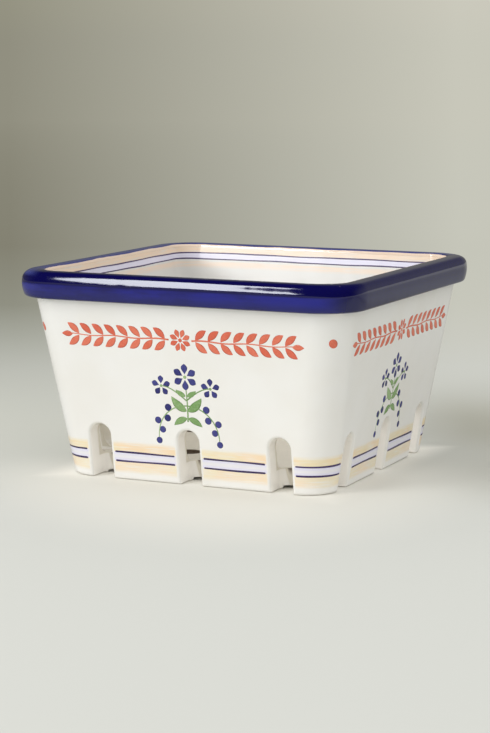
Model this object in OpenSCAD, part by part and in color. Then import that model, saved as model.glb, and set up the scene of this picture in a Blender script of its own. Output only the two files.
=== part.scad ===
// Square berry basket in glazed ceramic: a tapered wall on twelve feet,
// a floor with drain holes and a rolled rim. Millimetres, +Z up.
// The origin is the middle of the base, on the surface that the basket stands on.

/* [Basket] */
// Width across the flats at the table
base_w = 109; // [100:0.5:118]
// Width across the flats under the rim
top_w = 130.8; // [124:0.2:138]
// Height of the rim's underside
wall_h = 69.5; // [50:0.5:90]
// Thickness of the wall at the floor
wall_t = 7.5; // [6:0.1:8.5]
// Thickness of the wall under the rim
lip_t = 5.4; // [4:0.1:6.5]
// Outer corner radius at the table
base_r = 12; // [8:0.5:13]
// Outer corner radius under the rim
top_r = 13.4; // [11:0.2:16]
// Rounding of the bottom edge
foot_round = 1.5; // [0.5:0.1:2.5]

/* [Rim] */
// Height of the rolled rim
rim_h = 10.4; // [9:0.2:13]
// How far the rim stands out past the wall under it
rim_overhang = 4.6; // [3.5:0.1:6.5]
// Height of the rim over the end of the wall
rim_cap = 1.5; // [1.2:0.1:2.5]
// Rounding of the rim's upper outer edge
rim_top_round = 3.8; // [2:0.1:4.2]
// Rounding of the rim's lower outer edge
rim_under_round = 3.2; // [2:0.1:3.4]
// Rounding of the rim's inner edge
rim_lip_round = 1.1; // [0.5:0.1:1.2]

/* [Drain notches] */
// Notches on each side
notches_per_side = 3; // [2:1:4]
// Width of a notch
notch_w = 8.7; // [5:0.1:12]
// Height of a notch to the crown of its arch
notch_h = 21.5; // [16:0.5:30]
// Width of a corner foot at the table, from the flat to the first notch
corner_foot_w = 12.75; // [10:0.25:16]
// How far a notch's round back reaches in from the bottom edge
notch_depth = 11.5; // [10.4:0.1:16]

/* [Floor] */
// Thickness of the floor
floor_t = 6.8; // [4:0.1:8]
// Height of the floor's underside over the table
floor_lift = 1.2; // [0.6:0.1:2]
// Inner corner radius of the wall at the floor
well_r = 10; // [8:0.5:14]
// Radius of the hollow between floor and wall
well_fillet = 4; // [2:0.5:5]
// Diameter of a drain hole
hole_d = 10; // [5:0.5:14]
// Drain holes on the ring round the middle hole
ring_holes = 8; // [5:1:10]
// Distance from the floor's edge to the middle of a ring hole
hole_inset = 12; // [9:0.5:18]

/* [Hidden] */
glaze_white = [0.95, 0.93, 0.87];
glaze_cream = [0.91, 0.88, 0.80];
glaze_cobalt = [0.11, 0.11, 0.42];
// Facets of a circle where forms are lofted, and where they stay true
loft_fn = 32;
round_fn = 64;
$fn = round_fn;
// Slices of a rounded edge or hollow in a loft
edge_steps = 4;
// Thickness of a loft's slices, and how far cuts run past what they cut
slice_t = 0.01;
overrun = 4;

base_half = base_w / 2;
top_half = top_w / 2;
floor_top = floor_lift + floor_t;
rim_top = wall_h + rim_h;
wall_top = rim_top - rim_cap;
arch_r = notch_w / 2;
// Height where the notches' straight sides end and their arches spring
spring_z = notch_h - arch_r;
// Last notch of a row, measured from the middle of its side, and the notches' pitch
row_end = base_half - corner_foot_w - arch_r;
notch_pitch = 2 * row_end / (notches_per_side - 1);

// Outward slope of the outer and of the inner face, per unit of height
outer_slope = (top_half - base_half) / wall_h;
well_at_floor = base_half + outer_slope * floor_top - wall_t;
well_slope = (top_half - lip_t - well_at_floor) / (wall_h - floor_top);

// Half width between the flats at height z
function outer_half(z) = base_half + outer_slope * z;
function well_half(z) = well_at_floor + well_slope * (z - floor_top);

// Distance from the middle to the corner arcs' centres at height z. It grows up
// to the rim and stays there, so that wall and rim turn about the same centre
rim_core = top_half - top_r;
outer_core_base = base_half - base_r;
well_core_base = well_at_floor - well_r;
function rise(z, foot) = min(1, (z - foot) / (wall_h - foot));
function outer_core(z) = outer_core_base + (rim_core - outer_core_base) * rise(z, 0);
function well_core(z) = well_core_base + (rim_core - well_core_base) * rise(z, floor_top);

// A rounding of radius r between a level plane at z0 and a face of half width
// side_half that slopes outward: its centre, then its slices as [z, half width]
function bend_half(r, side_half, slope) = side_half - r * sqrt(1 + slope * slope);
function bend(r, z0, side_half, slope) =
    let (middle = bend_half(r, side_half, slope), last = -atan(slope))
    [for (i = [0 : edge_steps])
        let (turn = -90 + (last + 90) * i / edge_steps)
        [z0 + r + r * sin(turn), middle + r * cos(turn)]];

// Floor's half width and corner radius, where the hollow round it begins
floor_half = bend_half(well_fillet, well_half(floor_top + well_fillet), well_slope);
floor_r = floor_half - well_core(floor_top);
hole_ring_r = floor_half - hole_inset;

// Slices as [z, half width, corner radius]
outer_slices = concat(
    [for (s = bend(foot_round, 0, outer_half(foot_round), outer_slope))
        [s[0], s[1], s[1] - outer_core(s[0])]],
    [for (z = [wall_h, wall_top - slice_t]) [z, outer_half(z), outer_half(z) - outer_core(z)]]);
well_slices = concat(
    [for (s = bend(well_fillet, floor_top, well_half(floor_top + well_fillet), well_slope))
        [s[0], s[1], s[1] - well_core(s[0])]],
    [for (z = [wall_h, rim_top + overrun]) [z, well_half(z), well_half(z) - well_core(z)]]);

// Smooth skin round a stack of rounded squares
module loft(slices) {
    hull()
        for (s = slices, x = [-1, 1], y = [-1, 1])
            translate([x * (s[1] - s[2]), y * (s[1] - s[2]), s[0]])
                cylinder(h = slice_t, r = s[2], $fn = loft_fn);
}

// Rounded square plate with true corner arcs
module plate(half, r, z0, z1) {
    translate([0, 0, z0])
        linear_extrude(z1 - z0) {
            square([2 * half, 2 * (half - r)], center = true);
            square([2 * (half - r), 2 * half], center = true);
            for (x = [-1, 1], y = [-1, 1])
                translate([x * (half - r), y * (half - r)]) circle(r);
        }
}

// Its children on each notch's middle line, all round
module at_notches() {
    for (side = [0 : 3], i = [0 : notches_per_side - 1])
        rotate(90 * side) translate([i * notch_pitch - row_end, 0, 0]) children();
}

// Straight part of the notches, round at the back, open below and in front
module notch_slots() {
    back_y = base_half - notch_depth + arch_r;
    at_notches()
        translate([0, -back_y, -overrun])
            linear_extrude(spring_z + 2 * overrun) {
                circle(arch_r);
                translate([-arch_r, -top_half]) square([notch_w, top_half]);
            }
}

// Round arches over the slots, through the wall only
module notch_arches() {
    at_notches()
        translate([0, -well_half(floor_top) + overrun, spring_z])
            rotate([90, 0, 0]) cylinder(h = top_half - well_half(floor_top) + 2 * overrun, r = arch_r);
}

// Closed outer form between two heights
module outer_band(z0, z1) {
    intersection() {
        loft(outer_slices);
        translate([-top_w, -top_w, z0]) cube([2 * top_w, 2 * top_w, z1 - z0]);
    }
}

// The wall's foot, between table and arches, all round, with the slots cut
module foot_band() {
    difference() {
        outer_band(0, spring_z);
        plate(floor_half, floor_r, -overrun, floor_top);
        loft(well_slices);
        notch_slots();
    }
}

// Everything between the last notches of each row, front to back and side to side
module between_notches() {
    for (turn = [0, 90])
        rotate(turn) translate([-row_end, -top_w, -overrun])
            cube([2 * row_end, 2 * top_w, spring_z + 2 * overrun]);
}

// Sections of the rim and of the wall in it, measured from the corner arcs'
// centre line: x is outward from it and y is height
module rim_outline() {
    out = top_half + rim_overhang - rim_core;
    lip = well_half(rim_top) - rim_core;
    translate([out - rim_top_round, rim_top - rim_top_round]) circle(rim_top_round);
    translate([out - rim_under_round, wall_h + rim_under_round]) circle(rim_under_round);
    translate([lip + rim_lip_round, rim_top - rim_lip_round]) circle(rim_lip_round);
    polygon([
        [top_r, wall_h],
        [out - rim_under_round, wall_h],
        [out, wall_h + rim_under_round],
        [out, rim_top - rim_top_round],
        [out - rim_top_round, rim_top],
        [lip + rim_lip_round, rim_top],
        [lip, rim_top - rim_lip_round],
        [well_half(wall_top) - rim_core, wall_top]]);
}

module wall_outline() {
    polygon([
        [0, 0],
        [outer_half(0) - rim_core, 0],
        [outer_half(wall_top) - rim_core, wall_top],
        [0, wall_top]]);
}

module rim_section() {
    difference() {
        rim_outline();
        wall_outline();
    }
}

module rim_roll() {
    color(glaze_cobalt)
        for (side = [0 : 3])
            rotate(90 * side) translate([rim_core, rim_core, 0]) {
                rotate_extrude(angle = 90) rim_section();
                rotate([90, 0, 0]) linear_extrude(2 * rim_core) rim_section();
            }
}

module basket_wall() {
    color(glaze_white)
        difference() {
            outer_band(spring_z, wall_top);
            loft(well_slices);
            notch_arches();
        }
}

module corner_feet() {
    color(glaze_cream)
        difference() {
            foot_band();
            between_notches();
        }
}

module side_feet() {
    color(glaze_cream)
        intersection() {
            foot_band();
            between_notches();
        }
}

module drain_floor() {
    color(glaze_cream)
        difference() {
            plate(floor_half, floor_r, floor_lift, floor_top);
            notch_slots();
            translate([0, 0, floor_lift - overrun]) {
                cylinder(h = floor_t + 2 * overrun, d = hole_d);
                for (i = [0 : ring_holes - 1])
                    rotate(360 * (i + 1 / 2) / ring_holes) translate([hole_ring_r, 0, 0])
                        cylinder(h = floor_t + 2 * overrun, d = hole_d);
            }
        }
}

rim_roll();
basket_wall();
corner_feet();
side_feet();
drain_floor();
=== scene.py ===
import math
import bpy
import bmesh
import numpy as np
from mathutils import Matrix, Vector


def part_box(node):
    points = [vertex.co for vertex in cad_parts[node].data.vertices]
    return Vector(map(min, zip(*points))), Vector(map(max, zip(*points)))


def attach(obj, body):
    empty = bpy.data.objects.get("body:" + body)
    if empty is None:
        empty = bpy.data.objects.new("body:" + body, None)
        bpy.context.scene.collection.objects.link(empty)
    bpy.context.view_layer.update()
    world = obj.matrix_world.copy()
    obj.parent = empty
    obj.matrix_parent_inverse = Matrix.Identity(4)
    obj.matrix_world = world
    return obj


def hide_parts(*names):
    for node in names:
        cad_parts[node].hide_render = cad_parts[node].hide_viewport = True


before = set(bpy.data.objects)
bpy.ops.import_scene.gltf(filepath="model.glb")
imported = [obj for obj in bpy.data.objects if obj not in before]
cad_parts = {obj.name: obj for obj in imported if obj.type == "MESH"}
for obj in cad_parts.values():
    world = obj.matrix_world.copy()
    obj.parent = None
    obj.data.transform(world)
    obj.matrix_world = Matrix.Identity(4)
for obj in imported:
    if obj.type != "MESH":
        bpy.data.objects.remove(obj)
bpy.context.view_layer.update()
print("frame loaded:", ", ".join(sorted(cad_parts)))

mm = 0.001
rootBody = "root"

# Camera at the photograph's viewing angle; its focal length is in the photograph's own pixels
view = {
    "azimuth": 24.85,
    "elevation": 8.5,
    "distance": 849 * mm,
    "aim": (-2.87 * mm, 0.0, 37.8 * mm),
    "focalPixels": 2136,
    "pictureHeight": 733,
    "sensorHeight": 36.0,
    "farthest": 100,
}


def viewDirection(azimuth, elevation):
    # Unit vector from the object towards a place at that azimuth and elevation; azimuth 0 is in front
    a, e = math.radians(azimuth), math.radians(elevation)
    return Vector((math.sin(a) * math.cos(e), -math.cos(a) * math.cos(e), math.sin(e)))


def makeCamera():
    data = bpy.data.cameras.new("camera")
    data.sensor_fit = "VERTICAL"
    data.sensor_height = view["sensorHeight"]
    data.lens = view["focalPixels"] / view["pictureHeight"] * view["sensorHeight"]
    data.clip_end = view["farthest"]
    camera = bpy.data.objects.new("camera", data)
    away = viewDirection(view["azimuth"], view["elevation"])
    camera.location = Vector(view["aim"]) + away * view["distance"]
    camera.rotation_euler = away.to_track_quat("Z", "Y").to_euler()
    bpy.context.collection.objects.link(camera)
    bpy.context.scene.camera = camera


makeCamera()
print("camera placed")


# Form of the basket, read from the frame's boxes where they give it
rimLow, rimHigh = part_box("rim_roll")
_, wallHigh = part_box("basket_wall")
_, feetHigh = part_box("corner_feet")
floorLow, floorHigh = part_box("drain_floor")

basket = {
    "wallAtFloor": 7.5 * mm,
    "wallAtRim": 5.4 * mm,
    "footCornerRadius": 12 * mm,
    "rimCornerRadius": 13.4 * mm,
    "wellCornerRadius": 10 * mm,
    "footRound": 1.5 * mm,
    "wellFillet": 4 * mm,
    "cornerSteps": 20,
    "roundSteps": 8,
    "overNotches": 25 * mm,
    "floorRings": (3, 11, 22, 39),  # millimetres from the middle
    "tolerance": 0.01 * mm,
    "sharpOver": 60,
    "shadeWeight": 90,
}
notch = {
    "perSide": 3,
    "pitch": 37.4 * mm,
    "width": 8.7 * mm,
    "backReach": 11.5 * mm,
    "backSteps": 21,
    "archSteps": 12,
    "faceRound": 1.2 * mm,
    "tableRound": 0.9 * mm,
    "roundSteps": 6,
    "roundSink": 0.012 * mm,  # the rounding is cut this much deeper, so that it crosses the face
    "runOn": 0.2 * mm,
    "tuckIn": 0.03 * mm,
    "innerRound": 0.45 * mm,
    "innerSteps": 3,
    "innerSharp": 35,
    "overTable": 2 * mm,
    "underFace": 3 * mm,
    "weld": 0.002 * mm,
    "overrun": 10 * mm,
}
drain = {
    "ringHoles": 8,
    "ringInset": 12 * mm,
    "radius": 5 * mm,
    "steps": 48,
    "turn": 0.37,  # share of a step, so that no point meets a seam of the floor
    "overrun": 10 * mm,
}

outerSlope = (wallHigh.x - feetHigh.x) / (wallHigh.z - feetHigh.z)
baseHalf = feetHigh.x - outerSlope * feetHigh.z
rimFootZ = rimLow.z
wallTopZ = wallHigh.z
springZ = feetHigh.z
floorTopZ = floorHigh.z
floorUnderZ = floorLow.z
floorHalf = floorHigh.x


def outerHalf(z):
    # Half width between the outer flats, which grows evenly with height
    return baseHalf + outerSlope * z


wellAtFloor = outerHalf(floorTopZ) - basket["wallAtFloor"]
wellSlope = (outerHalf(rimFootZ) - basket["wallAtRim"] - wellAtFloor) / (rimFootZ - floorTopZ)
rimCore = outerHalf(rimFootZ) - basket["rimCornerRadius"]
footCore = baseHalf - basket["footCornerRadius"]
wellFootCore = wellAtFloor - basket["wellCornerRadius"]


def wellHalf(z):
    # The same between the well's flats, counted from the floor
    return wellAtFloor + wellSlope * (z - floorTopZ)


def outerCore(z):
    # Centre of the outer corner arcs: moves out with height and stays put above the rim's underside
    return footCore + (rimCore - footCore) * np.minimum(1, z / rimFootZ)


def wellCore(z):
    # The same for the well's corner arcs, counted from the floor
    return wellFootCore + (rimCore - wellFootCore) * np.minimum(1, (z - floorTopZ) / (rimFootZ - floorTopZ))


outerFace = {"half": outerHalf, "core": outerCore, "slope": outerSlope, "sign": 1}
wellFace = {"half": wellHalf, "core": wellCore, "slope": wellSlope, "sign": -1}


def roundedSquares(z, half, core, steps, columns):
    # Stacked rounded squares: each side is its flat, with a point at every column, and the quarter
    # circle after it, which turns about a centre at core; the next side is this one a right angle on
    turn = np.linspace(0, math.pi / 2, steps + 1)
    z, half, core = (np.asarray(v, float)[:, None] for v in (z, half, core))
    x = np.concatenate([columns + 0 * z, core + (half - core) * np.sin(turn)], axis=1)
    y = np.concatenate([-half + 0 * columns, -core - (half - core) * np.cos(turn)], axis=1)
    sides = [(x, y), (-y, x), (-x, -y), (y, -x)]
    x, y = (np.concatenate([side[axis] for side in sides], axis=1) for axis in (0, 1))
    return np.stack([x, y, z + 0 * x], axis=2)


def arcPoints(centre, radiusX, radiusZ, first, last, steps):
    # Points on an ellipse's arc, as (distance out, height), from one angle to another in degrees
    angle = np.radians(np.linspace(first, last, steps + 1))
    return np.stack([centre[0] + radiusX * np.cos(angle), centre[1] + radiusZ * np.sin(angle)], axis=1)


def gridFaces(rows, columns, closedRows=False):
    # Quads of a grid whose columns close on themselves; row i, column j is point i * columns + j
    i = np.arange(rows if closedRows else rows - 1)[:, None]
    j = np.arange(columns)[None, :]
    low, high = i * columns, (i + 1) % rows * columns
    jNext = (j + 1) % columns
    return np.stack([low + j, low + jNext, high + jNext, high + j], axis=2).reshape(-1, 4).tolist()


def stackFaces(rings):
    # Quads between the rings of a stack, and a flat face at each end
    rows, columns = rings.shape[:2]
    last = (rows - 1) * columns
    return gridFaces(rows, columns) + [list(range(columns))[::-1], list(range(last, last + columns))]


def joinShells(shells):
    # One array of points and one list of faces from those of several shells
    points, faces, start = [], [], 0
    for shellPoints, shellFaces in shells:
        points.append(shellPoints.reshape(-1, 3))
        faces += [[start + corner for corner in face] for face in shellFaces]
        start += len(points[-1])
    return np.concatenate(points), faces


def makePiece(name, points, faces):
    mesh = bpy.data.meshes.new(name)
    mesh.from_pydata(np.asarray(points).reshape(-1, 3).tolist(), [], faces)
    mesh.update()
    piece = bpy.data.objects.new(name, mesh)
    bpy.context.collection.objects.link(piece)
    return piece


def setAttribute(piece, name, values):
    attribute = piece.data.attributes.new(name, "FLOAT", "POINT")
    attribute.data.foreach_set("value", values.astype(np.float32))


def faceOutwards(piece, weld=0.0):
    shell = bmesh.new()
    shell.from_mesh(piece.data)
    if weld:
        bmesh.ops.remove_doubles(shell, verts=shell.verts, dist=weld)
    bmesh.ops.recalc_face_normals(shell, faces=shell.faces)
    shell.to_mesh(piece.data)
    shell.free()


def smoothPiece(piece):
    piece.data.polygons.foreach_set("use_smooth", np.ones(len(piece.data.polygons), bool))
    piece.data.update()


def bodySection():
    # The section as (distance out, height): out under the floor, down the step to the table, up the
    # outer face, over the wall's top, down the well and in over the floor
    footR, filletR, over = basket["footRound"], basket["wellFillet"], basket["overNotches"]
    steps = basket["roundSteps"]
    outLean = math.degrees(math.atan(outerSlope))
    wellLean = math.degrees(math.atan(wellSlope))
    footCentre = outerHalf(footR) - footR * math.hypot(1, outerSlope)
    rings = np.array(basket["floorRings"]) * mm
    parts = [
        [(ring, floorUnderZ) for ring in rings] + [(floorHalf, floorUnderZ), (floorHalf, 0)],
        arcPoints((footCentre, footR), footR, footR, -90, -outLean, steps),
        [(outerHalf(z), z) for z in (over, rimFootZ, wallTopZ)],
        [(wellHalf(z), z) for z in (wallTopZ, rimFootZ, over)],
        arcPoints((floorHalf, floorTopZ + filletR), filletR, filletR, -wellLean, -90, steps),
        [(ring, floorTopZ) for ring in rings[::-1]],
    ]
    wellStart = sum(len(part) for part in parts[:3])
    return np.concatenate(parts), wellStart


def makeBody():
    # The section carried round the square as stacked rings, and closed in the middle of the floor
    section, wellStart = bodySection()
    half, z = section[:, 0], section[:, 1]
    core = np.where(np.arange(len(z)) < wellStart, outerCore(z), wellCore(z))
    # Rings under and on the floor are the well's own foot, shrunk towards the middle
    shrink = np.minimum(1, half / floorHalf)
    core = np.where(half <= floorHalf + basket["tolerance"], wellFootCore * shrink, core)
    # Columns on the notches' middle lines and halfway between them keep each face to half a notch
    columns = (np.arange(2 * notch["perSide"] - 1) - notch["perSide"] + 1) * notch["pitch"] / 2
    rings = roundedSquares(z, half, core, basket["cornerSteps"], columns[None, :] * shrink[:, None])
    return makePiece("glazed_basket", rings, stackFaces(rings))


def turnToSide(points, side):
    # A right angle about Z for each side on from the front
    for _ in range(side):
        points = np.stack([-points[..., 1], points[..., 0], points[..., 2]], axis=-1)
    return points


def roundingRings(radius):
    # A quarter circle between a notch's own wall and the face that it opens in, from deep to shallow,
    # as pairs of how deep under that face and how far the outline is grown
    turn = np.linspace(0, math.pi / 2, notch["roundSteps"] + 1)
    return radius * (1 - np.sin(turn)) - notch["roundSink"], radius * (1 - np.cos(turn))


def notchCutter(side, along):
    # A slot with a half round back, grown towards the table; above the spring line its half width
    # follows a quarter circle
    half = notch["width"] / 2
    back = baseHalf - notch["backReach"] + half
    depth, grow = roundingRings(notch["tableRound"])
    rise = np.linspace(0, math.pi / 2, 2 * notch["archSteps"] + 2)[:-1:2]
    widths = np.concatenate([[half + grow[-1]], half + grow[::-1], half * np.cos(rise)])[:, None]
    archHeights = springZ + half * np.sin(rise)
    heights = np.concatenate([[-notch["overrun"]], depth[::-1], archHeights])[:, None]
    turn = np.linspace(0, math.pi, notch["backSteps"] + 1)
    x = np.concatenate([widths * [-1, 1], widths * np.cos(turn)], axis=1) + along
    y = np.concatenate([-rimHigh.x + 0 * widths * [1, 1], -back + widths * np.sin(turn)], axis=1)
    return turnToSide(np.stack([x, y, heights + 0 * x], axis=2), side)


def faceRounding(side, along):
    # Up one side of the notch, over its arch and down the other side, laid at each depth under the
    # leaning face. Both ends run on, into the slot and out of the wall
    depth, grow = roundingRings(notch["faceRound"])
    depth = np.concatenate([[depth[0] + notch["runOn"]], depth, [-notch["overrun"]]])[:, None]
    half = notch["width"] / 2 + np.concatenate([[-notch["tuckIn"]], grow, [grow[-1]]])[:, None]
    turn = np.linspace(math.pi, 0, 2 * notch["archSteps"] + 1)
    x = np.concatenate([-half, half * np.cos(turn), half], axis=1) + along
    foot = -notch["overrun"] + 0 * half
    z = np.concatenate([foot, springZ + half * np.sin(turn), foot], axis=1)
    y = -outerHalf(z) + depth * math.hypot(1, outerSlope)
    return turnToSide(np.stack([x, y, z], axis=2), side)


def drainCutter(x, y):
    # A circle of points under the floor and the same one over it
    turn = (np.arange(drain["steps"]) + drain["turn"]) * 2 * math.pi / drain["steps"]
    z = np.array([[-drain["overrun"]], [floorTopZ + drain["overrun"]]])
    ringX = x + drain["radius"] * np.cos(turn) + 0 * z
    ringY = y + drain["radius"] * np.sin(turn) + 0 * z
    return np.stack([ringX, ringY, z + 0 * ringX], axis=2)


def cutAway(body, stacks):
    cutter = makePiece("opening_cutters", *joinShells([(stack, stackFaces(stack)) for stack in stacks]))
    faceOutwards(cutter)
    cut = body.modifiers.new("openings", "BOOLEAN")
    cut.operation = "DIFFERENCE"
    cut.solver = "EXACT"
    cut.object = cutter
    depsgraph = bpy.context.evaluated_depsgraph_get()
    finished = bpy.data.meshes.new_from_object(body.evaluated_get(depsgraph))
    body.modifiers.clear()
    body.data = finished
    finished.name = body.name
    bpy.data.objects.remove(cutter)


def cutOpenings(body):
    rowEnd = notch["pitch"] * (notch["perSide"] - 1) / 2
    row = [notch["pitch"] * i - rowEnd for i in range(notch["perSide"])]
    places = [(side, along) for side in range(4) for along in row]
    ringRadius = floorHalf - drain["ringInset"]
    ringTurns = 2 * math.pi * (np.arange(drain["ringHoles"]) + 0.5) / drain["ringHoles"]
    ring = [(ringRadius * math.cos(turn), ringRadius * math.sin(turn)) for turn in ringTurns]
    holes = [drainCutter(*middle) for middle in [(0, 0)] + ring]
    cutAway(body, [notchCutter(*place) for place in places] + holes)
    cutAway(body, [faceRounding(*place) for place in places])


def roundsOver(edge):
    # The inner edges of notches and drain holes: sharp, over the floor's underside, deep under the
    # outer face and clear of the well's corners
    heights = [corner.co.z for corner in edge.verts]
    reaches = [sorted((abs(corner.co.x), abs(corner.co.y))) for corner in edge.verts]
    depths = [outerHalf(z) - farther for z, (nearer, farther) in zip(heights, reaches)]
    sharp = edge.is_manifold and edge.calc_face_angle(0) > math.radians(notch["innerSharp"])
    overFloor = min(heights) > floorUnderZ + notch["overTable"]
    underWall = max(heights) < basket["overNotches"]
    clearOfCorners = max(nearer for nearer, farther in reaches) < wellFootCore
    return sharp and overFloor and underWall and clearOfCorners and min(depths) > notch["underFace"]


def roundInnerEdges(body):
    shell = bmesh.new()
    shell.from_mesh(body.data)
    bmesh.ops.remove_doubles(shell, verts=shell.verts, dist=notch["weld"])
    bmesh.ops.dissolve_degenerate(shell, edges=shell.edges, dist=notch["weld"])
    bmesh.ops.bevel(shell, geom=[edge for edge in shell.edges if roundsOver(edge)],
                    offset=notch["innerRound"], offset_type="OFFSET", affect="EDGES",
                    segments=notch["innerSteps"], profile=0.5, loop_slide=False, clamp_overlap=False)
    shell.to_mesh(body.data)
    shell.free()
    body.data.update()


def measureDepth(body):
    # How deep each point lies under the outer face: the corner radius less the distance from the
    # square core
    points = np.zeros(len(body.data.vertices) * 3)
    body.data.vertices.foreach_get("co", points)
    x, y, z = np.abs(points.reshape(-1, 3)).T
    core = outerCore(z)
    reach = np.hypot(np.maximum(x - core, 0), np.maximum(y - core, 0))
    setAttribute(body, "depth", outerHalf(z) - core - reach)


body = makeBody()
cutOpenings(body)
roundInnerEdges(body)
measureDepth(body)
smoothPiece(body)
body.data.set_sharp_from_angle(angle=math.radians(basket["sharpOver"]))
evenShade = body.modifiers.new("even_shade", "WEIGHTED_NORMAL")
evenShade.keep_sharp = True
evenShade.weight = basket["shadeWeight"]
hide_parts("basket_wall", "corner_feet", "side_feet", "drain_floor")
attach(body, rootBody)
print("glazed basket:", len(body.data.polygons), "faces")


# Rolled rim: a rounded section carried round the square. Its outside is a chain of tangent arcs, each
# given by its radius in millimetres and by the way, in degrees over level, that its last point faces
rim = {
    "outside": ((1.3, -15), (17.5, 3), (12.9, 7), (4.0, 40), (2.6, 82)),
    "lip": ((1.35, 180),),
    "arcSteps": 7,
    "crownSteps": 10,
    "lipProud": 0.07 * mm,
    # Points that the wall hides, as millimetres out and up from the wall's foot, from the lip's end,
    # and from the inner and the outer end of the wall's top
    "footPoints": ((-0.6, 0.05), (0.3, 0.0)),
    "lipPoints": ((0.05, -0.04), (0.6, -0.06)),
    "corePoints": ((1.6, -0.8), (-0.2, -0.8)),
    "cornerSteps": 24,
    "sideSteps": 20,
    "wander": 0.16 * mm,
    "waves": ((0.25, 3, 0.7), (0.25, 7, 2.1)),  # share of the wander, turns round the rim, start
    "wanderDepth": 2 * mm,
    "cornerFill": 1.2 * mm,
    "cornerPower": 2.5,
    "weld": 0.001 * mm,
    "sharpOver": 50,
}


def tangentArcs(first, bends):
    # Arcs set end to end, each starting in the direction in which the last one stopped
    points = np.zeros((1, 2))
    for radius, last in bends:
        arc = arcPoints((0, 0), radius * mm, radius * mm, first, last, rim["arcSteps"])
        points = np.concatenate([points, points[-1] + (arc - arc[0])[1:]])
        first = last
    return points


def rimSection():
    # Closed section as (distance out from the corner centres, height), round the outside and back
    # inside the wall. Over the top a shallow crown joins the outside to the lip
    shoulder = rim["outside"][-1][1]
    outside, lip = tangentArcs(-90, rim["outside"]), tangentArcs(180 - shoulder, rim["lip"])
    lipX = wellHalf(wallTopZ) - rimCore - rim["lipProud"]
    wallFoot = outerHalf(rimFootZ) - rimCore
    outside[:, 0] += rimHigh.x - rimCore - outside[:, 0].max()
    lip += (lipX - lip[-1, 0], 0)
    crown = (outside[-1, 0] - lip[0, 0]) / (2 * math.cos(math.radians(shoulder)))
    over = arcPoints((0, 0), crown, crown, shoulder, 180 - shoulder, rim["crownSteps"])
    crownRise = crown * (1 - math.sin(math.radians(shoulder)))
    outside[:, 1] = rimFootZ + outside[:, 1] * (rimHigh.z - crownRise - rimFootZ) / outside[-1, 1]
    over += outside[-1] - over[0]
    lip[:, 1] += over[-1, 1] - lip[0, 1]
    foot = np.array([wallFoot, rimFootZ]) + np.array(rim["footPoints"]) * mm
    seat = np.array([lipX, lip[-1, 1]]) + np.array(rim["lipPoints"]) * mm
    core = np.array([(lipX, wallTopZ), (wallFoot, wallTopZ)]) + np.array(rim["corePoints"]) * mm
    return np.concatenate([foot, outside, over[1:], lip[1:], seat, core])


def makeRim():
    # Each ring of points stands on the square core's edge or corner and reaches out along one direction
    section = rimSection()
    turn = np.linspace(0, math.pi / 2, rim["cornerSteps"] + 1)
    share = np.linspace(0, 1, rim["sideSteps"] + 2)[1:-1]
    anchors, directions = [], []
    corners = np.array([(1, 1), (-1, 1), (-1, -1), (1, -1)]) * rimCore
    for k in range(4):
        angle = k * math.pi / 2 + turn
        anchors.append(np.repeat(corners[k][None, :], len(turn), axis=0))
        directions.append(np.stack([np.cos(angle), np.sin(angle)], axis=1))
        anchors.append(corners[k] + (corners[(k + 1) % 4] - corners[k]) * share[:, None])
        directions.append(np.repeat(directions[-1][-1:], len(share), axis=0))
    anchor, direction = np.concatenate(anchors), np.concatenate(directions)
    # The rim wanders in by a little all round, less towards its hidden side
    way = np.arange(len(anchor)) / len(anchor) * 2 * math.pi
    waves = sum(size * np.sin(count * way + start) for size, count, start in rim["waves"])
    outShare = (section[:, 0] - (rimHigh.x - rimCore) + rim["wanderDepth"]) / rim["wanderDepth"]
    # The corners are a little fuller than a circle, most on the diagonal
    diagonal = np.abs(2 * direction[:, 0] * direction[:, 1]) ** rim["cornerPower"]
    moved = rim["cornerFill"] * diagonal - rim["wander"] * (0.5 + waves)
    reach = section[:, 0] + moved[:, None] * np.clip(outShare, 0, 1)
    plan = anchor[:, None, :] + reach[..., None] * direction[:, None, :]
    heights = np.broadcast_to(section[None, :, 1:], plan.shape[:2] + (1,))
    points = np.concatenate([plan, heights], axis=2)
    return makePiece("cobalt_rim", points, gridFaces(*points.shape[:2], closedRows=True))


rimRoll = makeRim()
faceOutwards(rimRoll, rim["weld"])
smoothPiece(rimRoll)
rimRoll.data.set_sharp_from_angle(angle=math.radians(rim["sharpOver"]))
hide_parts("rim_roll")
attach(rimRoll, rootBody)
print("cobalt rim:", len(rimRoll.data.polygons), "faces")


# Painted decoration: brush strokes, each a very flat closed pebble laid on the glaze
stroke = {
    "lift": 0.045 * mm,
    "stack": 0.02 * mm,
    "flatUnder": 0.25 * mm,  # a stroke narrower than this lies flatter
    "thinnest": 0.004 * mm,
    "leafPower": 0.85,
    "around": 8,
    "along": 14,
}


def onFace(face, side, along, z, lift):
    # Along the side's flat out to the core, then round the corner arc, and lift off it square to the
    # face; past the corner's middle the next side takes over
    half, core = face["half"](z), face["core"](z)
    radius = half - core
    quarter = 2 * core + radius * math.pi / 2
    over = np.floor(along / quarter + 0.5)
    along = along - over * quarter
    swing = np.sign(along) * np.maximum(np.abs(along) - core, 0) / radius
    out = radius + lift * face["sign"] / math.hypot(1, face["slope"])
    x = np.clip(along, -core, core) + out * np.sin(swing)
    y = -core - out * np.cos(swing)
    turn = (side + over) * math.pi / 2
    cosine, sine = np.cos(turn), np.sin(turn)
    up = -face["sign"] * lift * face["slope"]
    return np.stack([x * cosine - y * sine, x * sine + y * cosine, z + up], axis=-1)


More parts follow.
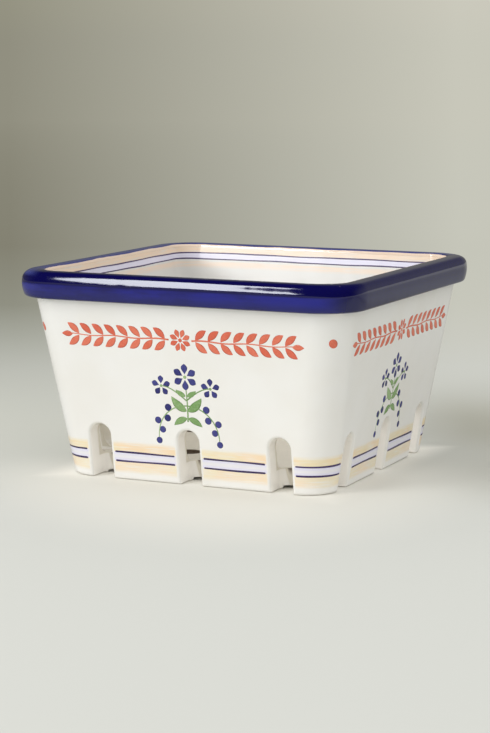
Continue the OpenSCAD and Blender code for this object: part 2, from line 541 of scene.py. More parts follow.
def strokeShell(face, side, along, z, width, level=0, closed=False):
    # A stroke: rings of a flat ellipse, half width across and lift out, carried along a line given by
    # how far along the side and how high it runs. With it comes each point's share across the stroke
    along, z, width = np.broadcast_arrays(np.asarray(along, float), z, width)
    stepA, stepZ = np.gradient(along), np.gradient(z)
    length = np.hypot(stepA, stepZ)
    turn = np.arange(stroke["around"]) * 2 * math.pi / stroke["around"]
    offset = width[:, None] * np.cos(turn)
    rise = (stroke["lift"] + level * stroke["stack"]) * np.sin(turn)
    rise = rise * np.minimum(1, width[:, None] / stroke["flatUnder"])
    points = onFace(face, side, along[:, None] - (stepZ / length)[:, None] * offset,
                    z[:, None] + (stepA / length)[:, None] * offset, rise)
    faces = gridFaces(*points.shape[:2], closedRows=True) if closed else stackFaces(points)
    return points, faces, (0.5 + 0.5 * np.cos(turn)[None, :] + 0 * offset).ravel()


def evenShares(count):
    # Shares from 0 to 1 that lie closer together towards both ends
    return (1 - np.cos(np.linspace(0, math.pi, count))) / 2


def roundedWidths(half, length, count):
    # Half widths of a stroke whose two ends are half circles
    share = evenShares(count)
    fromEnd = np.minimum(share, 1 - share) * length
    inside = np.clip(1 - fromEnd / half, 0, 1)
    return share, half * np.sqrt(1 - inside ** 2) + stroke["thinnest"]


def dotStroke(side, along, z, radius, level=1):
    # A round spot on the outer face: a short stroke as long as it is wide
    share, width = roundedWidths(radius, 2 * radius, stroke["along"])
    return strokeShell(outerFace, side, along, z + (2 * share - 1) * radius, width, level)


def leafStroke(side, along, z, angle, length, half, bend=0.0, fullest=0.45, level=1):
    # A leaf on the outer face: its axis is an arc that turns by bend, and its half width rises to the
    # fullest share and runs to a point
    share = evenShares(stroke["along"])
    heading = angle + bend * (share - 0.5)
    step = np.diff(share, prepend=0) * length
    pathA = along + np.cumsum(step * np.cos(heading))
    pathZ = z + np.cumsum(step * np.sin(heading))
    power = math.log(0.5) / math.log(fullest)
    width = half * np.sin(math.pi * share ** power) ** stroke["leafPower"] + stroke["thinnest"]
    return strokeShell(outerFace, side, pathA, pathZ, width, level)


def mergeStrokes(name, strokes, material, seed):
    # One mesh of all strokes. Its attributes are the share across a stroke and a random pick for each
    picks = np.random.default_rng(seed).random(len(strokes))
    piece = makePiece(name, *joinShells([(points, faces) for points, faces, _ in strokes]))
    faceOutwards(piece)
    setAttribute(piece, "across", np.concatenate([across for _, _, across in strokes]))
    setAttribute(piece, "pick", np.repeat(picks, [len(across) for _, _, across in strokes]))
    smoothPiece(piece)
    piece.data.materials.append(material)
    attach(piece, rootBody)
    print(name + ":", len(strokes), "strokes,", len(piece.data.polygons), "faces")


# Materials. A shader's formula is written with the outputs of its nodes
class Output:
    # What a node gives out. Its sums, differences, products and so on are new nodes of the same tree
    def __init__(self, tree, socket):
        self.tree = tree
        self.socket = socket

    def __add__(self, other):
        return calc("ADD", self, other)

    def __sub__(self, other):
        return calc("SUBTRACT", self, other)

    def __rsub__(self, other):
        return calc("SUBTRACT", other, self)

    def __mul__(self, other):
        return calc("MULTIPLY", self, other)

    def __truediv__(self, other):
        return calc("DIVIDE", self, other)

    def __abs__(self):
        return calc("ABSOLUTE", self)


def fill(node, inputs):
    # Gives each input, by name or number, its constant or another node's output
    for name, value in inputs.items():
        if isinstance(value, Output):
            value.tree.links.new(value.socket, node.inputs[name])
        else:
            node.inputs[name].default_value = value


def addNode(tree, kind, inputs, output=0):
    node = tree.nodes.new(kind)
    fill(node, inputs)
    return Output(tree, node.outputs[output])


def calc(operation, first, second=0.0):
    tree = (first if isinstance(first, Output) else second).tree
    node = tree.nodes.new("ShaderNodeMath")
    node.operation = operation
    fill(node, {0: first, 1: second})
    return Output(tree, node.outputs[0])


def larger(first, second):
    return calc("MAXIMUM", first, second)


def ramp(value, low, high, kind="SMOOTHSTEP"):
    # 0 below low, 1 above high and a smooth step between; low over high turns it round
    node = value.tree.nodes.new("ShaderNodeMapRange")
    node.interpolation_type = kind
    first, last = (0.0, 1.0) if low < high else (1.0, 0.0)
    fill(node, {"Value": value, "From Min": min(low, high), "From Max": max(low, high),
                "To Min": first, "To Max": last})
    return Output(value.tree, node.outputs["Result"])


def band(value, low, lowFull, highFull, high):
    # 1 between the two full places and 0 past the outer two
    return ramp(value, low, lowFull) * ramp(value, high, highFull)


def fromScreen(red, green, blue):
    # A colour as it shows on screen, 0 to 255, turned into the linear one that the shaders take
    share = np.array([red, green, blue]) / 255
    linear = np.where(share <= 0.04045, share / 12.92, ((share + 0.055) / 1.055) ** 2.4)
    return (*linear.tolist(), 1.0)


def blendColour(share, first, second):
    # From the first colour at share 0 to the second at 1, each a node's output or as it shows on screen
    node = share.tree.nodes.new("ShaderNodeMix")
    node.data_type = "RGBA"
    first, second = (c if isinstance(c, Output) else fromScreen(*c) for c in (first, second))
    fill(node, {"Factor": share, "A": first, "B": second})
    return Output(share.tree, node.outputs["Result"])


def layColours(colour, layers):
    # Lays colours over the first one, each with the share that it covers
    for share, layer in layers:
        colour = blendColour(share, colour, layer)
    return colour


def noise(place, scale, detail, stretch=None):
    if stretch:
        place = addNode(place.tree, "ShaderNodeMapping", {"Vector": place, "Scale": stretch})
    inputs = {"Vector": place, "Scale": scale, "Detail": detail}
    return addNode(place.tree, "ShaderNodeTexNoise", inputs, "Fac")


def scaleVector(vector, scale):
    node = vector.tree.nodes.new("ShaderNodeVectorMath")
    node.operation = "SCALE"
    fill(node, {0: vector, "Scale": scale})
    return Output(vector.tree, node.outputs[0])


def splitVector(vector):
    node = vector.tree.nodes.new("ShaderNodeSeparateXYZ")
    fill(node, {0: vector})
    return [Output(vector.tree, part) for part in node.outputs]


def readAttribute(tree, name):
    node = tree.nodes.new("ShaderNodeAttribute")
    node.attribute_name = name
    return Output(tree, node.outputs["Fac"])


def startMaterial(name, roughness):
    # A new material, its shader, and object coordinates in millimetres, whole and as x, y, z
    material = bpy.data.materials.new(name)
    material.use_nodes = True
    shader = material.node_tree.nodes["Principled BSDF"]
    fill(shader, {"Roughness": roughness})
    place = scaleVector(addNode(material.node_tree, "ShaderNodeTexCoord", {}, "Object"), 1 / mm)
    return material, shader, place, splitVector(place)


def addRipples(shader, place, glaze):
    # Long ripples and a share of fine ones, as a bump of the glaze's surface
    height = noise(place, *glaze["ripples"]) + noise(place, *glaze["fineRipples"]) * glaze["fineShare"]
    inputs = {"Height": height, "Strength": glaze["bump"], "Distance": glaze["bumpHeight"]}
    fill(shader, {"Normal": addNode(place.tree, "ShaderNodeBump", inputs, "Normal")})


whiteGlaze = {
    "clear": (237, 236, 233),
    "warm": (234, 232, 227),
    # Painted shade: inside the well the glaze is darker, and darker and warmer still towards its floor
    "well": (219, 218, 215),
    "wellFoot": (225, 219, 205),
    "peach": (241, 214, 176),
    "straw": (237, 221, 181),
    "blush": (238, 212, 190),
    "lavender": (221, 219, 238),
    # Painted light in the notches
    "notchLightCream": (252, 249, 244),
    "bisque": (238, 232, 218),
    # Painted shade under the floor and in its holes
    "holeShadeClay": (108, 92, 78),
    "roughness": 0.2,
    "cloudRoughness": 0.06,
    "footRoughness": 0.45,
    # Noises as scale, detail and stretch, and where one turns a colour into the next
    "wander": (0.06, 3.0),
    "streaks": (0.9, 3.0, (0.12, 0.12, 1.6)),
    "clouds": (0.035, 3.0),
    "ripples": (0.05, 2.0),
    "fineRipples": (0.9, 2.0),
    "fineShare": 0.02,
    "bump": 0.5,
    "bumpHeight": 0.5 * mm,
    "warmFrom": (0.35, 0.7),
    "strawFrom": (0.4, 0.62),
    "thinFrom": (0.1, 0.62),
    # The bands' wander in height and how strongly each is brushed
    "bandWander": 1.1,
    "bandStrength": 0.92,
    "peachLowStrength": 0.8,
    "wellPeachLowStrength": 0.75,
    "palerBy": 0.55,
    "blushInside": 0.8,
    # Heights between which colours fade in and out, in millimetres
    "peachHighFoot": (10.9, 11.3),
    "peachHighTop": (15.6, 13.4),
    "peachLowFoot": (2.2, 4.3),
    "peachLowTop": (7.6, 7.2),
    "lavenderHeights": (7.3, 7.6, 10.9, 11.2),
    "palerHeights": (8.1, 9.0, 9.5, 10.4),
    "wellPeachHigh": (75.9, 76.2),
    "wellPeachLow": (69.2, 71.2, 72.0, 72.9),
    "wellLavender": (73.4, 73.8, 75.8, 76.1),
    "wellFootFade": (45, 22),
    "notchTop": (22.4, 21.4),
    "overFloor": (7.3, 7.9),
    "holeShadeUnder": (7.9, 7.6),
    "bareFoot": (0.35, 0.05),
    # Depths under the outer face, and distances past a notch's side, in millimetres
    "outerDepth": (2.0, 0.9),
    "innerDepth": (3.0, 4.2),
    "notchDepth": (0.3, 1.2, 11.2, 11.6),
    "wellDepth": (5.4, 6.6),
    "holeShadeDepth": (11.8, 12.2),
    "bandsFrom": (0.9, 1.5),
    "notchLightFrom": (0.9, 0.1),
}


def makeWhiteGlaze():
    g = whiteGlaze
    material, shader, place, (x, y, z) = startMaterial("white_glaze", g["roughness"])
    depth = readAttribute(place.tree, "depth") / mm
    # How far along its side a point lies, and how far past the nearest notch's side that is
    sizeX, sizeY = abs(x), abs(y)
    onX = calc("GREATER_THAN", sizeX, sizeY)
    along = sizeX * (1 - onX) + sizeY * onX
    pastNotch = calc("MINIMUM", along, abs(along - notch["pitch"] / mm)) - notch["width"] / 2 / mm
    # Brushed bands wander a little in height and in strength
    wander = noise(place, *g["wander"])
    brushed = z + (wander - 0.5) * g["bandWander"]
    strength = ramp(noise(place, *g["streaks"]), *g["thinFrom"]) * g["bandStrength"]
    inside = ramp(depth, *g["innerDepth"])
    outer = ramp(depth, *g["outerDepth"]) * ramp(pastNotch, *g["bandsFrom"])
    peachHigh = ramp(z, *g["peachHighFoot"]) * ramp(brushed, *g["peachHighTop"])
    peachLow = ramp(brushed, *g["peachLowFoot"]) * ramp(z, *g["peachLowTop"]) * g["peachLowStrength"]
    wellPeachLow = band(brushed, *g["wellPeachLow"]) * g["wellPeachLowStrength"]
    wellPeach = larger(ramp(z, *g["wellPeachHigh"]), wellPeachLow)
    peach = larger((peachHigh + peachLow) * outer, wellPeach * inside) * strength
    lavender = band(z, *g["lavenderHeights"]) - band(z, *g["palerHeights"]) * g["palerBy"]
    lavender = larger(lavender * outer, band(z, *g["wellLavender"]) * inside)
    # Painted light: inside a notch, as far as the well, the glaze is painted creamy and nearly white, for
    # the light bounced between the notch's sides
    notchLight = ramp(pastNotch, *g["notchLightFrom"]) * ramp(z, *g["notchTop"]) * band(depth, *g["notchDepth"])
    notchLight = notchLight * (1 - ramp(z, *g["overFloor"]) * ramp(depth, *g["wellDepth"]))
    # Painted shade: under the floor and in its holes the glaze is painted a dark clay brown, so that they
    # read dark. At the table there is an unglazed edge
    holeShade = ramp(depth, *g["holeShadeDepth"]) * ramp(z, *g["holeShadeUnder"])
    foot = ramp(z, *g["bareFoot"])
    clouds = noise(place, *g["clouds"])
    wash = blendColour(ramp(wander, *g["strawFrom"]), g["peach"], g["straw"])
    colour = layColours(g["clear"], [
        (ramp(clouds, *g["warmFrom"]), g["warm"]),
        # Painted shade inside the well
        (inside, blendColour(ramp(z, *g["wellFootFade"]), g["well"], g["wellFoot"])),
        (peach, blendColour(inside * g["blushInside"], wash, g["blush"])),
        (lavender, g["lavender"]),
        (notchLight, g["notchLightCream"]),
        (holeShade, g["holeShadeClay"]),
        (foot, g["bisque"]),
    ])
    roughness = (clouds - 0.5) * g["cloudRoughness"] + foot * g["footRoughness"] + g["roughness"]
    fill(shader, {"Base Color": colour, "Roughness": roughness})
    addRipples(shader, place, g)
    return material


cobaltGlaze = {
    "deep": (8, 6, 70),
    "face": (17, 15, 88),
    "bright": (24, 26, 126),
    "paintedCrownLight": (66, 74, 142),
    "lip": (236, 214, 194),
    "roughness": 0.06,
    "poolRoughness": 0.02,
    "bend": 1.7,
    "mirrorTint": (0.92, 0.95, 1.0, 1.0),  # linear
    # Noises as scale, detail and stretch, and what they make up of the change to the bright blue
    "pools": (0.05, 4.0),
    "streaks": (0.5, 3.0, (0.2, 0.2, 1.5)),
    "ripples": (0.07, 2.0),
    "fineRipples": (0.35, 2.0, (0.25, 0.25, 1.0)),
    "fineShare": 0.025,
    "bump": 0.18,
    "bumpHeight": 0.5 * mm,
    "poolPart": 0.7,
    "streakPart": 0.3,
    "risePart": 0.14,
    "brightFrom": (0.35, 0.65),
    # Places between which the glaze changes, in millimetres, and how strongly
    "rise": (-10, 40),
    # Painted shade: over the shoulder, on the +X side and towards the lower edge the blue is darker
    "shoulder": (74.8, 75.7),
    "darkSide": (57, 68),
    "lowEdge": (73.6, 69.8),
    "lowStrength": 0.65,
    # Painted light over the crown on the -X and +Y sides
    "crown": (77.6, 79.2),
    "crownLightLeft": (-56, -64),
    "crownLightBack": (56, 64),
    "crownLightStrength": 0.8,
    "lipTop": (79.55, 79.3),
    "lipWander": 0.8,
    "lipReach": (64, 63.4),
}


def makeCobaltGlaze():
    g = cobaltGlaze
    material, shader, place, (x, y, z) = startMaterial("cobalt_glaze", g["roughness"])
    pools = noise(place, *g["pools"])
    bright = pools * g["poolPart"] + noise(place, *g["streaks"]) * g["streakPart"]
    bright = bright + ramp(x, *g["rise"]) * g["risePart"]
    # Painted shade: the blue is darker over the shoulder, on the +X side away from the window, and towards
    # its lower edge
    paintedShade = larger(ramp(z, *g["shoulder"]), ramp(x, *g["darkSide"]))
    paintedShade = larger(paintedShade, ramp(z, *g["lowEdge"]) * g["lowStrength"])
    # Painted light: over the crown the blue is lighter and greyer on the -X and +Y sides
    crownLightSides = larger(ramp(x, *g["crownLightLeft"]), ramp(y, *g["crownLightBack"]))
    paintedCrownLight = ramp(z, *g["crown"]) * crownLightSides * g["crownLightStrength"]
    # It stops in a wavering edge at the lip inside the mouth, where the well's upper band begins
    wavering = z + (pools - 0.5) * g["lipWander"]
    lip = ramp(wavering, *g["lipTop"]) * ramp(larger(abs(x), abs(y)), *g["lipReach"])
    colour = layColours(g["face"], [
        (ramp(bright, *g["brightFrom"]), g["bright"]),
        (paintedShade, g["deep"]),
        (paintedCrownLight, g["paintedCrownLight"]),
        (lip, g["lip"]),
    ])
    roughness = (pools - 0.5) * g["poolRoughness"] + g["roughness"]
    fill(shader, {"Base Color": colour, "Roughness": roughness, "IOR": g["bend"],
                  "Specular Tint": g["mirrorTint"]})
    addRipples(shader, place, g)
    return material


# Brush paints, with the colour where one is deep, where it is pale and at a stroke's edges
brushPaints = {
    "line_paint": ((52, 40, 82), (78, 64, 108), (66, 54, 96)),
    "navy_paint": ((40, 40, 104), (66, 68, 136), (36, 34, 88)),
    "leaf_paint": ((112, 150, 88), (156, 184, 132), (98, 136, 78)),
    "coral_paint": ((212, 98, 74), (224, 122, 96), (206, 96, 74)),
}
brush = {
    "roughness": 0.2,
    "grain": (1.4, 3.0),
    "grainPart": 0.8,
    "pickPart": 0.45,
    "paleFrom": (0.3, 0.95),
    "edgeFrom": (0.3, 0.5),
    "edgeStrength": 0.6,
}


def makeBrushPaint(name):
    # Deep and pale in grains and from stroke to stroke
    deep, pale, edge = brushPaints[name]
    material, shader, place, _ = startMaterial(name, brush["roughness"])
    share = noise(place, *brush["grain"]) * brush["grainPart"]
    share = share + readAttribute(place.tree, "pick") * brush["pickPart"]
    fromMiddle = abs(readAttribute(place.tree, "across") - 0.5)
    colour = layColours(deep, [
        (ramp(share, *brush["paleFrom"]), pale),
        (ramp(fromMiddle, *brush["edgeFrom"]) * brush["edgeStrength"], edge),
    ])
    fill(shader, {"Base Color": colour})
    return material


bodyGlaze = makeWhiteGlaze()
rimGlaze = makeCobaltGlaze()
linePaint, navyPaint, leafPaint, coralPaint = [makeBrushPaint(name) for name in brushPaints]
body.data.materials.clear()
body.data.materials.append(bodyGlaze)
rimRoll.data.materials.append(rimGlaze)
print("materials made")


# Thin brushed lines round the feet and inside the mouth
lines = {
    "outer": (11.05 * mm, 7.5 * mm),
    "halfWidth": 0.36 * mm,
    "widthSwing": 0.12,
    "widthWave": 5 * mm,
    "longWave": 9 * mm,
    "shortWave": 4.1 * mm,
    "shortShare": 0.5,
    "clearance": 1.7 * mm,
    "points": 40,
    "well": (76.0 * mm, 73.5 * mm),
    "wellHalfWidth": 0.266 * mm,
    "wellWidthSwing": 0.028 * mm,
    "wellTurns": (9, 21, 11),  # long waves, short waves and waves of the width, all round
    "wellShortShare": 0.4,
    "wellPoints": 320,
    "wander": 0.09 * mm,
}


def footLine(side, start, end, z, phase):
    # Straight along the side, wandering in height by a long and a short wave
    share, width = roundedWidths(lines["halfWidth"], end - start, lines["points"])
    along = start + share * (end - start)
    short = lines["shortShare"] * np.sin(along / lines["shortWave"] + 2 * phase)
    high = z + lines["wander"] * (np.sin(along / lines["longWave"] + phase) + short)
    width = width * (1 + lines["widthSwing"] * np.sin(along / lines["widthWave"] + phase))
    return strokeShell(outerFace, side, along, high, width)


def wellLine(z, phase):
    # All round the well, wandering in height by a long and a short wave
    longTurns, shortTurns, widthTurns = lines["wellTurns"]
    quarter = 2 * wellCore(z) + (wellHalf(z) - wellCore(z)) * math.pi / 2
    share = np.arange(lines["wellPoints"]) / lines["wellPoints"]
    turn = share * 2 * math.pi
    width = lines["wellHalfWidth"] + lines["wellWidthSwing"] * np.sin(widthTurns * turn + phase)
    short = lines["wellShortShare"] * np.sin(shortTurns * turn)
    high = z + lines["wander"] * (np.sin(longTurns * turn + phase) + short)
    return strokeShell(wellFace, 0, share * 4 * quarter, high, width, closed=True)


def paintLines():
    strokes = []
    pitch, reach = notch["pitch"], notch["width"] / 2 + lines["clearance"]
    for side in range(4):
        for level, z in enumerate(lines["outer"]):
            phase = 1.3 * side + 2.1 * level
            quarter = 2 * outerCore(z) + (outerHalf(z) - outerCore(z)) * math.pi / 2
            strokes.append(footLine(side, -pitch + reach, -reach, z, phase))
            strokes.append(footLine(side, reach, pitch - reach, z, phase + 1))
            strokes.append(footLine(side, pitch + reach, quarter - pitch - reach, z, phase + 2))
    for level, z in enumerate(lines["well"]):
        strokes.append(wellLine(z, 0.9 + 1.7 * level))
    mergeStrokes("painted_lines", strokes, linePaint, 3)


paintLines()


# Coral garland of paired leaves round a rosette, with a dot on each corner
garland = {
    "height": 56.3 * mm,
    "firstPair": 6.3 * mm,
    "pairPitch": 5.17 * mm,
    "pairs": 8,
    "leafLength": 6.2 * mm,
    "leafHalf": 1.35 * mm,
    "leafAngle": math.radians(42),
    "leafBend": 0.5,
    "leafFullest": 0.5,
    "endLength": 4.6 * mm,
    "endHalf": 1.15 * mm,
    "endOverlap": 0.6 * mm,
    "stemStart": 4.7 * mm,
    "stemPastLeaves": 3.4 * mm,
    "stemHalf": (0.33 * mm, 0.18 * mm),  # at its start and at its end
    "stemPoints": 30,
    "sway": 0.25 * mm,
    "swayTurn": 14,
    "petals": 8,
    "petalGap": 0.9 * mm,
    "petalLength": 3.5 * mm,
    "petalHalf": 1.0 * mm,
    "petalFullest": 0.6,
    "eye": 0.75 * mm,
    "cornerDot": 1.7 * mm,
    "cornerHeight": 58 * mm,
    "offSeam": 0.001 * mm,  # keeps a corner dot's points off the seam between two sides
}


def mirrored(angle, way):
    # An angle over the way along the side, turned round for the half that runs back
    return angle if way > 0 else math.pi - angle


def garlandHalf(strokes, side, way):
    # From the rosette towards one corner: a stem, pairs of leaves and an end leaf
    g = garland
    end = g["firstPair"] + g["pairPitch"] * (g["pairs"] - 1) + g["stemPastLeaves"]
    stem = way * np.linspace(g["stemStart"], end, g["stemPoints"])
    high = g["height"] + g["sway"] * np.sin(np.linspace(0, g["swayTurn"], g["stemPoints"]))
    strokes.append(strokeShell(outerFace, side, stem, high, np.linspace(*g["stemHalf"], g["stemPoints"])))
    for k in range(g["pairs"]):
        base = g["firstPair"] + g["pairPitch"] * k
        for up in (-1, 1):
            strokes.append(leafStroke(side, way * base, g["height"] + g["sway"] * up,
                                      mirrored(g["leafAngle"] * up, way), g["leafLength"], g["leafHalf"],
                                      bend=-g["leafBend"] * up * way, fullest=g["leafFullest"]))
    strokes.append(leafStroke(side, way * (end - g["endOverlap"]), g["height"], mirrored(0, way),
                              g["endLength"], g["endHalf"]))


def paintGarland():
    g = garland
    strokes, dots = [], []
    for side in range(4):
        for i in range(g["petals"]):
            angle = 2 * math.pi * (i + 0.5) / g["petals"]
            along, z = g["petalGap"] * math.cos(angle), g["height"] + g["petalGap"] * math.sin(angle)
            strokes.append(leafStroke(side, along, z, angle, g["petalLength"], g["petalHalf"],
                                      fullest=g["petalFullest"]))
        strokes.append(dotStroke(side, 0, g["height"], g["eye"]))
        garlandHalf(strokes, side, -1)
        garlandHalf(strokes, side, 1)
        z = g["cornerHeight"]
        corner = outerCore(z) + (outerHalf(z) - outerCore(z)) * math.pi / 4
        dots.append(dotStroke(side, corner - g["offSeam"], z, g["cornerDot"]))
    mergeStrokes("coral_garland", strokes, coralPaint, 5)
    mergeStrokes("corner_dots", dots, coralPaint, 6)


paintGarland()


# Upright sprig on each side: a stem with paired leaves, three flowers and two budded arms. Stems and
# arms have a half width at their foot and one at their end
sprig = {
    "middle": 0.8 * mm,
    "stemFoot": 25.0 * mm,
    "stemTop": 39.6 * mm,
    "stemHalf": (0.336 * mm, 0.196 * mm),
    "stemPoints": 18,
    "sway": 0.25 * mm,
    "swayTurn": 3,
    "crown": {"along": 0.0, "z": 42.3 * mm, "petals": 6, "length": 4.1 * mm, "half": 1.35 * mm,
              "eye": 0.65 * mm},
    "side": {"along": 10.2 * mm, "z": 38.4 * mm, "petals": 5, "length": 3.2 * mm, "half": 1.15 * mm,
             "eye": 0.55 * mm},
    "petalGap": 0.24,
    "petalFullest": 0.62,
    "upperArm": {"foot": 33.2 * mm, "half": (0.28 * mm, 0.196 * mm)},
    "lowerArm": {"reach": 12.6 * mm, "top": 31.2 * mm, "end": 17.6 * mm, "power": 0.9,
                 "half": (0.28 * mm, 0.182 * mm)},
    # Buds beside the lower arm: share of the way along it, then millimetres out and up from it
    "buds": ((0.40, 0.5, 1.3), (0.55, -1.15, -0.85), (0.70, 1.3, 0.6), (0.85, -1.4, 0.1), (1.0, 0.0, -0.6)),
    "budRadius": (1.491 * mm, 1.278 * mm),
    # Leaves in pairs: foot's height and angle, length and half width, and bend
    "leaves": ((35.0, 28, 4.6, 1.0, 0.6), (29.2, 40, 8.2, 1.65, 0.7), (26.3, -26, 6.4, 1.3, -0.6)),
    "leafGap": 0.25 * mm,
    "leafFullest": 0.43,
}


def paintFlower(blue, green, side, way, form):
    # Petals all round, the first one upright, and an eye in the middle
    middle, gap = sprig["middle"] + way * form["along"], sprig["petalGap"] * form["length"]
    for i in range(form["petals"]):
        angle = 2 * math.pi * i / form["petals"] + math.pi / 2
        along, z = middle + gap * math.cos(angle), form["z"] + gap * math.sin(angle)
        blue.append(leafStroke(side, along, z, angle, form["length"], form["half"],
                               fullest=sprig["petalFullest"], level=2))
    green.append(dotStroke(side, middle, form["z"], form["eye"], level=3))


def armPlace(way, share):
    # The lower arm arches out by a sine and down by a power of a cosine
    arm, turn = sprig["lowerArm"], share * math.pi / 2
    drop = (arm["top"] - arm["end"]) * np.maximum(np.cos(turn), 0) ** arm["power"]
    return sprig["middle"] + way * arm["reach"] * np.sin(turn), arm["end"] + drop


def sprigHalf(blue, green, side, way):
    # Upper arm with its flower, lower arm with its buds, and the leaves
    s, arm = sprig, sprig["upperArm"]
    share = np.linspace(0, 1, s["stemPoints"])
    rise = (s["side"]["z"] - arm["foot"]) * np.sin(share * math.pi / 2)
    green.append(strokeShell(outerFace, side, s["middle"] + way * s["side"]["along"] * share,
                             arm["foot"] + rise, np.linspace(*arm["half"], s["stemPoints"])))
    paintFlower(blue, green, side, way, s["side"])
    green.append(strokeShell(outerFace, side, *armPlace(way, share),
                             np.linspace(*s["lowerArm"]["half"], s["stemPoints"])))
    for at, out, up in s["buds"]:
        along, z = armPlace(way, at)
        radius = np.interp(at, (0, 1), s["budRadius"])
        blue.append(dotStroke(side, along + way * out * mm, z + up * mm, radius, level=2))
    for z, angle, length, half, bend in s["leaves"]:
        green.append(leafStroke(side, s["middle"] + way * s["leafGap"], z * mm,
                                mirrored(math.radians(angle), way), length * mm, half * mm,
                                bend=bend * way, fullest=s["leafFullest"]))


def paintSprigs():
    s = sprig
    blue, green = [], []
    rise = np.linspace(s["stemFoot"], s["stemTop"], s["stemPoints"])
    stem = s["middle"] + s["sway"] * np.sin(np.linspace(0, s["swayTurn"], s["stemPoints"]))
    for side in range(4):
        green.append(strokeShell(outerFace, side, stem, rise, np.linspace(*s["stemHalf"], s["stemPoints"])))
        paintFlower(blue, green, side, 0, s["crown"])
        sprigHalf(blue, green, side, -1)
        sprigHalf(blue, green, side, 1)
    mergeStrokes("sprig_leaves", green, leafPaint, 8)
    mergeStrokes("sprig_flowers", blue, navyPaint, 9)


paintSprigs()
print("decoration painted")


# Floor, backdrop and light. Places on the floor are in metres to the right and away, seen by the viewer
studio = {
    "floorSize": 40.0,
    "near": (217, 218, 212),
    "bounce": (242, 240, 231),
    "under": (252, 250, 242),
    "shade": (186, 185, 173),
    # The floor's colours on the left and on the right, with how far away each is reached: painted shade,
    # darker farther back and most on the left
    "firstStop": -0.08,
    "leftStops": ((0.08, (206, 207, 198)), (0.25, (187, 188, 180)), (0.37, (168, 169, 159)),
                  (0.52, (145, 145, 132)), (0.93, (132, 130, 115)), (4.0, (145, 143, 128))),
    "rightStops": ((0.08, (208, 209, 202)), (0.25, (206, 207, 200)), (0.37, (204, 204, 195)),
                   (0.52, (202, 202, 191)), (0.93, (198, 198, 186)), (4.0, (200, 199, 186))),
    # Painted shade on the backdrop: darker on the left than on the right
    "backdropLeft": (149, 147, 130),
    "backdropRight": (203, 201, 188),
    "backdropFrom": (0.0, 0.025),
    # Bearings of the left and the right edge, and those between which they even out behind the viewer
    "edges": (-6.3, 5.6),
    "evenFrom": (40, 150),
    "evenShare": 0.6,
    "calmRadius": 0.6,
    "glowFrom": (0.45, 1.1),
    "bounceShift": 0.005,
    "bounceSqueeze": 1.45,
    "bounceReach": (0.17, 0.07),
    "bounceBefore": (0.02, -0.04),
    "shadeAside": (0.06, 0.1),
    "shadeDeep": (0.01, 0.07, 0.09, 0.18),
    "shadeDeepPart": 0.55,
    "shadeBroad": (-0.11, -0.04, 0.1, 0.26),
    "shadeBroadPart": 0.45,
    "underReach": (0.067, 0.05),
    "mirrorDim": 0.32,
    "mirrorDimBefore": 0.2,
    "mirrorBefore": (-0.9, -0.4, -0.3, -0.1),
    "floorLight": 1.13,
    "world": 1.0,
    "worldColour": (1.0, 1.0, 0.99, 1.0),  # linear
    "glossLow": 0.33,
    "glossHigh": 0.05,
    "glossUnder": (0.75, 0.1),
    "glossBehind": (-0.25, 0.45),
    "keyAzimuth": -30,
    "keyElevation": 26.6,
    "keyDistance": 2.2,
    "keyAim": 0.04,
    "keyWidth": 0.27,
    "keyHeight": 1.96,
    "keyPower": 17.3,
}


def towardsView(vector):
    # A place or direction as how far to the right, how far away and how high it lies for the viewer
    heading = math.radians(view["azimuth"])
    cosine, sine = math.cos(heading), math.sin(heading)
    x, y, z = splitVector(vector)
    return x * cosine + y * sine, y * cosine - x * sine, z


def lengthOf(first, second):
    return calc("SQRT", first * first + second * second)


def chainColours(value, colour, stops, start):
    # Linear steps from the first colour through each stop, given as a place and the colour there
    for place, stop in stops:
        colour = blendColour(ramp(value, start, place, "LINEAR"), colour, stop)
        start = place
    return colour


def leftToRight(sideways, away):
    # 0 on the left and 1 on the right of what the viewer sees; behind the viewer it evens out
    bearing = calc("ARCTAN2", sideways, away)
    ahead = ramp(bearing, *map(math.radians, studio["edges"]), "LINEAR")
    behind = ramp(abs(bearing), *map(math.radians, studio["evenFrom"]))
    return ahead * (1 - behind) + behind * studio["evenShare"]


def raysOf(tree, kind):
    return addNode(tree, "ShaderNodeLightPath", {}, kind)


def mixShaders(share, first, second):
    return addNode(share.tree, "ShaderNodeMixShader", {"Fac": share, 1: first, 2: second})


def floorColour(ground, sideways, away, back):
    s = studio
    share = leftToRight(sideways, away + view["distance"])
    left = chainColours(back, s["near"], s["leftStops"], s["firstStop"])
    right = chainColours(back, s["near"], s["rightStops"], s["firstStop"])
    # Light thrown back by the basket onto the floor before it
    aside = (sideways + s["bounceShift"]) * s["bounceSqueeze"]
    bounce = ramp(lengthOf(aside, away), *s["bounceReach"]) * ramp(away, *s["bounceBefore"])
    # The floor lies darker on the right, away from the window
    shade = band(away, *s["shadeDeep"]) * s["shadeDeepPart"]
    shade = shade + band(away, *s["shadeBroad"]) * s["shadeBroadPart"]
    # Painted light: under the basket and close to its feet the floor is lightest, as light thrown back by
    # the feet
    x, y, _ = splitVector(ground)
    under = ramp(larger(abs(x), abs(y)), *s["underReach"])
    return layColours(blendColour(share, left, right), [
        (bounce, s["bounce"]),
        (ramp(sideways, *s["shadeAside"]) * shade, s["shade"]),
        (under, s["under"]),
    ])


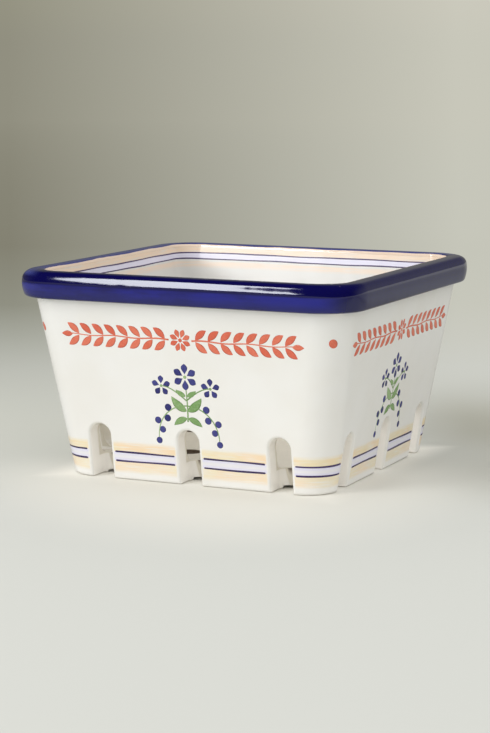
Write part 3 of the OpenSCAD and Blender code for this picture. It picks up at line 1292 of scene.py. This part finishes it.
def makeFloor():
    s = studio
    size = s["floorSize"]
    corners = [(-size, -size, 0), (size, -size, 0), (size, size, 0), (-size, size, 0)]
    floor = makePiece("floor", corners, [(0, 1, 2, 3)])
    material = bpy.data.materials.new("floor_paint")
    material.use_nodes = True
    tree = material.node_tree
    tree.nodes.clear()
    ground = addNode(tree, "ShaderNodeTexCoord", {}, "Object")
    sideways, away, _ = towardsView(ground)
    # How far back a place lies; to the sides and behind the viewer the floor runs to its far colours too
    back = larger(away, lengthOf(sideways, away) - s["calmRadius"])
    colour = floorColour(ground, sideways, away, back)
    # As paint, the colours are less what the light adds to them. In reflections the floor is darker,
    # most before the basket
    glossy = raysOf(tree, "Is Glossy Ray")
    dim = glossy * (band(away, *s["mirrorBefore"]) * s["mirrorDimBefore"] + s["mirrorDim"])
    paint = scaleVector(colour, (1 - dim) / s["floorLight"])
    # Farther out the floor shows its colours themselves
    shown = larger(raysOf(tree, "Is Camera Ray"), glossy) * ramp(back, *s["glowFrom"])
    surface = mixShaders(shown, addNode(tree, "ShaderNodeBsdfDiffuse", {"Color": paint}),
                         addNode(tree, "ShaderNodeEmission", {"Color": colour}))
    fill(tree.nodes.new("ShaderNodeOutputMaterial"), {"Surface": surface})
    floor.data.materials.append(material)


def makeWorld():
    # Seen directly it is the backdrop; as light it is even; in reflections it is pale low down behind
    # and dark overhead
    s = studio
    world = bpy.data.worlds.new("studio")
    world.use_nodes = True
    tree = world.node_tree
    tree.nodes.clear()
    sideways, away, up = towardsView(addNode(tree, "ShaderNodeTexCoord", {}, "Generated"))
    share = leftToRight(sideways, away)
    # It starts at the floor's far colours
    horizon = blendColour(share, s["leftStops"][-1][1], s["rightStops"][-1][1])
    backdrop = blendColour(share, s["backdropLeft"], s["backdropRight"])
    backdrop = blendColour(ramp(up, *s["backdropFrom"]), horizon, backdrop)
    gloss = ramp(up, *s["glossUnder"]) * ramp(away, *s["glossBehind"]) * s["glossLow"] + s["glossHigh"]
    grounds = ((backdrop, 1.0), (s["worldColour"], s["world"]), (backdrop, gloss))
    seen, light, mirror = (addNode(tree, "ShaderNodeBackground", {"Color": colour, "Strength": strength})
                           for colour, strength in grounds)
    unseen = mixShaders(raysOf(tree, "Is Glossy Ray"), light, mirror)
    surface = mixShaders(raysOf(tree, "Is Camera Ray"), unseen, seen)
    fill(tree.nodes.new("ShaderNodeOutputWorld"), {"Surface": surface})
    bpy.context.scene.world = world


def makeKeyLight():
    # A tall soft window. Its long side lies in a plane across the front, so that the rim mirrors it
    # as one even band
    data = bpy.data.lights.new("key", "AREA")
    data.shape = "RECTANGLE"
    data.size = studio["keyWidth"]
    data.size_y = studio["keyHeight"]
    data.energy = studio["keyPower"]
    light = bpy.data.objects.new("key", data)
    towards = viewDirection(studio["keyAzimuth"], studio["keyElevation"])
    light.location = towards * studio["keyDistance"] + Vector((0, 0, studio["keyAim"]))
    tall = Vector((1, 0, 0)).cross(towards).normalized()
    light.rotation_euler = Matrix((tall.cross(towards), tall, towards)).transposed().to_euler()
    bpy.context.collection.objects.link(light)


makeFloor()
makeWorld()
makeKeyLight()
bpy.context.scene.view_settings.view_transform = "Standard"
print("studio lit")
